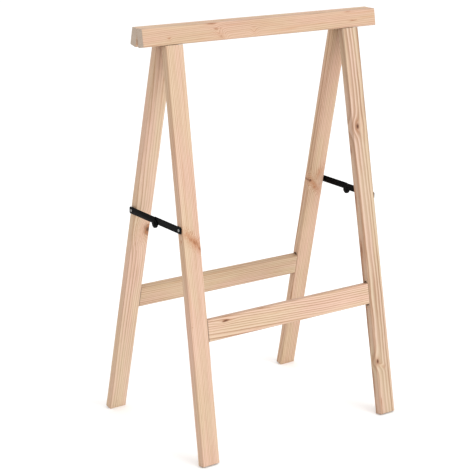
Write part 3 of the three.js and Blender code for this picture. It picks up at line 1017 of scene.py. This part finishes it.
def hinge_screw_mesh(name, length):
    """A countersunk screw, with its head at z = 0 and its shank upwards."""
    shank, head, edge, tip = (HINGE_SCREW[key] for key in ("shank", "head", "edge", "tip"))
    outline = [(0, 0), (head - edge, 0), (head, edge), (shank, HINGE_SCREW["depth"]),
               (shank, length - HINGE_SCREW["point"]), (tip, length - 0.2), (0, length)]
    flip = Matrix.Scale(-1, 4, (0, 0, 1))
    screw = moved(turned(name, outline, FEWER), flip)
    return moved(cross_recess(screw, 0, 1.3, 0.9, 0.6), flip)


def leaf_mesh(end, side):
    """A hinge leaf: a plate with countersunk holes and knuckles rolled round the pin."""
    own = (0, 2) if end == "front" else (1,)
    (start, stop), _, down = flat_box(f"{side}_hinge_{end}_leaf", end)
    inner = -board_box(end)[1][0]
    corner, knuckle_radius = LEAF["corner"], LEAF["knuckle"]
    outline = (arc((start + corner, -down[1] + corner), corner, 180, 270, 6)
               + arc((stop - corner, -down[1] + corner), corner, 270, 360, 6)
               + [(stop, -LEAF["tuck"]), (start, -LEAF["tuck"])])
    plate = prism(f"{side}_hinge_{end}_plate", outline, 0, LEAF["thickness"])
    moved(bevelled(plate, LEAF["edge"]), outwards((0, inner, 0)))
    third = (stop - start) / 3
    roll = (LEAF["roll"], LEAF["roll"] + 340)
    for i in range(3):
        low, high = start + i * third, start + (i + 1) * third
        if i in own:
            ring = (arc((0, 0), knuckle_radius, *roll, 40)
                    + arc((0, 0), LEAF["bore"], *reversed(roll), 40))
            knuckle = prism("knuckle", ring, low + GAP / 2, high - GAP / 2)
            boolean(plate, moved(knuckle, ALONG_X), "UNION")
        else:
            boolean(plate, block("room", (low - (i == 0), high + (i == 2)), (-BEYOND, BEYOND),
                                 (-knuckle_radius - GAP, BEYOND)))
    hole, sink = HINGE_SCREW["shank"] + GAP, HINGE_SCREW["head"] + GAP
    for number in (1, 2):
        place, _ = hinge_screw_place(side, end, number)
        cutter = turned("sink", [(0, -1), (sink, -1), (sink, 0), (hole, HINGE_SCREW["depth"]),
                                 (hole, 2), (0, 2)])
        boolean(plate, moved(cutter, outwards(place)))
    return plate


def add_hinge(side, plating):
    for end in ENDS:
        prefix, body = f"{side}_hinge_{end}", f"{end}_frame"
        install(shade(leaf_mesh(end, side)), FLAT[end], f"{prefix}_leaf", body, *plating)
        for number in (1, 2):
            place, length = hinge_screw_place(side, end, number)
            screw = shade(hinge_screw_mesh(f"{prefix}_head_{number}", length))
            install(screw, FLAT[end] @ outwards(place), f"{prefix}_screw_{number}", body,
                    *plating)
    low, high = spans(node_points(f"{side}_hinge_pin"))[0]
    pin = turned(f"{side}_hinge_pin_rod", eased_rod(PIN["radius"], low, high, PIN["edge"]), FEWER)
    install(shade(moved(pin, ALONG_X)), Matrix.Translation((0, 0, HINGE_Z)),
            f"{side}_hinge_pin", "rear_frame", *plating)


def rivet_outline(end, low, high):
    """Half a rivet: a shank with a flat head behind the front link, or a dome on the rear one."""
    shank, head, edge = RIVET["shank"], RIVET["head"], RIVET["edge"]
    if end == "rear":
        base = high - RIVET["dome"]
        return [(0, low), (shank, low), (shank, base), *dome(head, base, RIVET["dome"])]
    back, flat = RIVET["back_edge"], low + RIVET["flat"]
    return [(0, low), (head - edge, low), (head, low + edge), (head, flat - back),
            (head - back, flat), (shank, flat), (shank, high), (0, high)]


def add_stay(side, paint, plating):
    """A stay's links, screws, rivet and spacer, with x to the rivet and z out of the leg."""
    sign = -1 if side == "left" else 1
    for end in ENDS:
        to_rivet = -1 if end == "rear" else 1
        body, frame_body = f"{side}_stay_{end}", f"{end}_frame"
        pivot = Vector(JOINTS[f"{side}_{end}_link_turn"]["pos_m"]) / MM
        at_pivot = axes((0, to_rivet, 0), (0, 0, 1), (sign, 0, 0), pivot)

        def heights(node):
            away = [sign * (p.x - pivot.x) for p in node_points(node)]
            return min(away), max(away)

        bar = link_mesh(f"{body}_bar", abs(pivot.y), *heights(f"{body}_link"))
        install(shade(bar), at_pivot, f"{body}_link", body, *paint)
        tip, top = heights(f"{body}_screw")
        screw = pivot_screw_mesh(f"{body}_pivot", tip, top - STAY_SCREW["height"], top)
        install(shade(screw), at_pivot, f"{body}_screw", frame_body, *plating)
        stud = turned(f"{body}_stud", rivet_outline(end, *heights(f"{body}_rivet")))
        at_rivet = at_pivot @ Matrix.Translation((abs(pivot.y), -LINK["drop"], 0))
        install(shade(stud), at_rivet, f"{body}_rivet", body, *paint)
        if end == "rear":
            ring = eased_rod(SPACER["radius"], *heights(f"{body}_spacer"), SPACER["edge"],
                             STAY_SCREW["shank"] + GAP)
            bush = turned(f"{side}_stay_bush", ring)
            install(shade(bush), at_pivot, f"{body}_spacer", frame_body, *paint)


for end in ENDS:
    add_wood(board_plank(end), cut_board)
    add_wood(rail_plank(end), cut_rail)
    for side in SIDES:
        add_wood(leg_plank(end, side), cut_leg, side)

# A finish is a material slot and its material.
hinge_plating = ("zinc", zinc("zinc_hinge", (0.72, 0.71, 0.66, 1)))
paint = ("black_steel", black_steel())
screw_plating = ("zinc", zinc("zinc_screws", (0.33, 0.33, 0.32, 1)))
for side in SIDES:
    add_hinge(side, hinge_plating)
for side in SIDES:
    add_stay(side, paint, screw_plating)


# ---- floor, light and camera ----

FLOOR_HALF = 12
FLOOR = {"Base Color": (0.98, 0.98, 0.98, 1), "Roughness": 0.9}
SKY = {"Color": (1, 1, 1, 1), "Strength": 1.1}
KEY = {"place": (1.4, -3.6, 2.6), "aim": (0, 0, 0.4), "size": 3.6, "power": 84}
AZIMUTH, ELEVATION, ROLL = 36.25, -16.81, 1.09
CAMERA_PLACE = (-1.557, -2.063, 1.128)
LENS = 112.06


def floor():
    bm = bmesh.new()
    bmesh.ops.create_grid(bm, x_segments=1, y_segments=1, size=FLOOR_HALF)
    obj = object_from("floor", bm)
    obj.location.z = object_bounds()[0].z
    s = Shader("pale_floor")
    s.dress(FLOOR)
    obj.data.materials.append(s.material)
    obj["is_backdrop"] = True


def sky():
    world = bpy.data.worlds.new("studio")
    world.use_nodes = True
    for name, value in SKY.items():
        world.node_tree.nodes["Background"].inputs[name].default_value = value
    bpy.context.scene.world = world


def key_light():
    data = bpy.data.lights.new("key", "AREA")
    data.shape = "DISK"
    data.size = KEY["size"]
    data.energy = KEY["power"]
    obj = bpy.data.objects.new("key", data)
    obj.location = KEY["place"]
    towards = Vector(KEY["aim"]) - Vector(KEY["place"])
    obj.rotation_euler = towards.to_track_quat("-Z", "Y").to_euler()
    bpy.context.scene.collection.objects.link(obj)


def camera():
    data = bpy.data.cameras.new("camera")
    data.lens = LENS
    obj = bpy.data.objects.new("camera", data)
    turn = Matrix.Rotation(-math.radians(AZIMUTH), 4, "Z")
    tilt = Matrix.Rotation(math.radians(90 + ELEVATION), 4, "X")
    roll = Matrix.Rotation(math.radians(ROLL), 4, "Z")
    obj.matrix_world = Matrix.Translation(CAMERA_PLACE) @ turn @ tilt @ roll
    bpy.context.scene.collection.objects.link(obj)
    bpy.context.scene.camera = obj


floor()
sky()
key_light()
camera()
bpy.context.scene.view_settings.view_transform = "Standard"
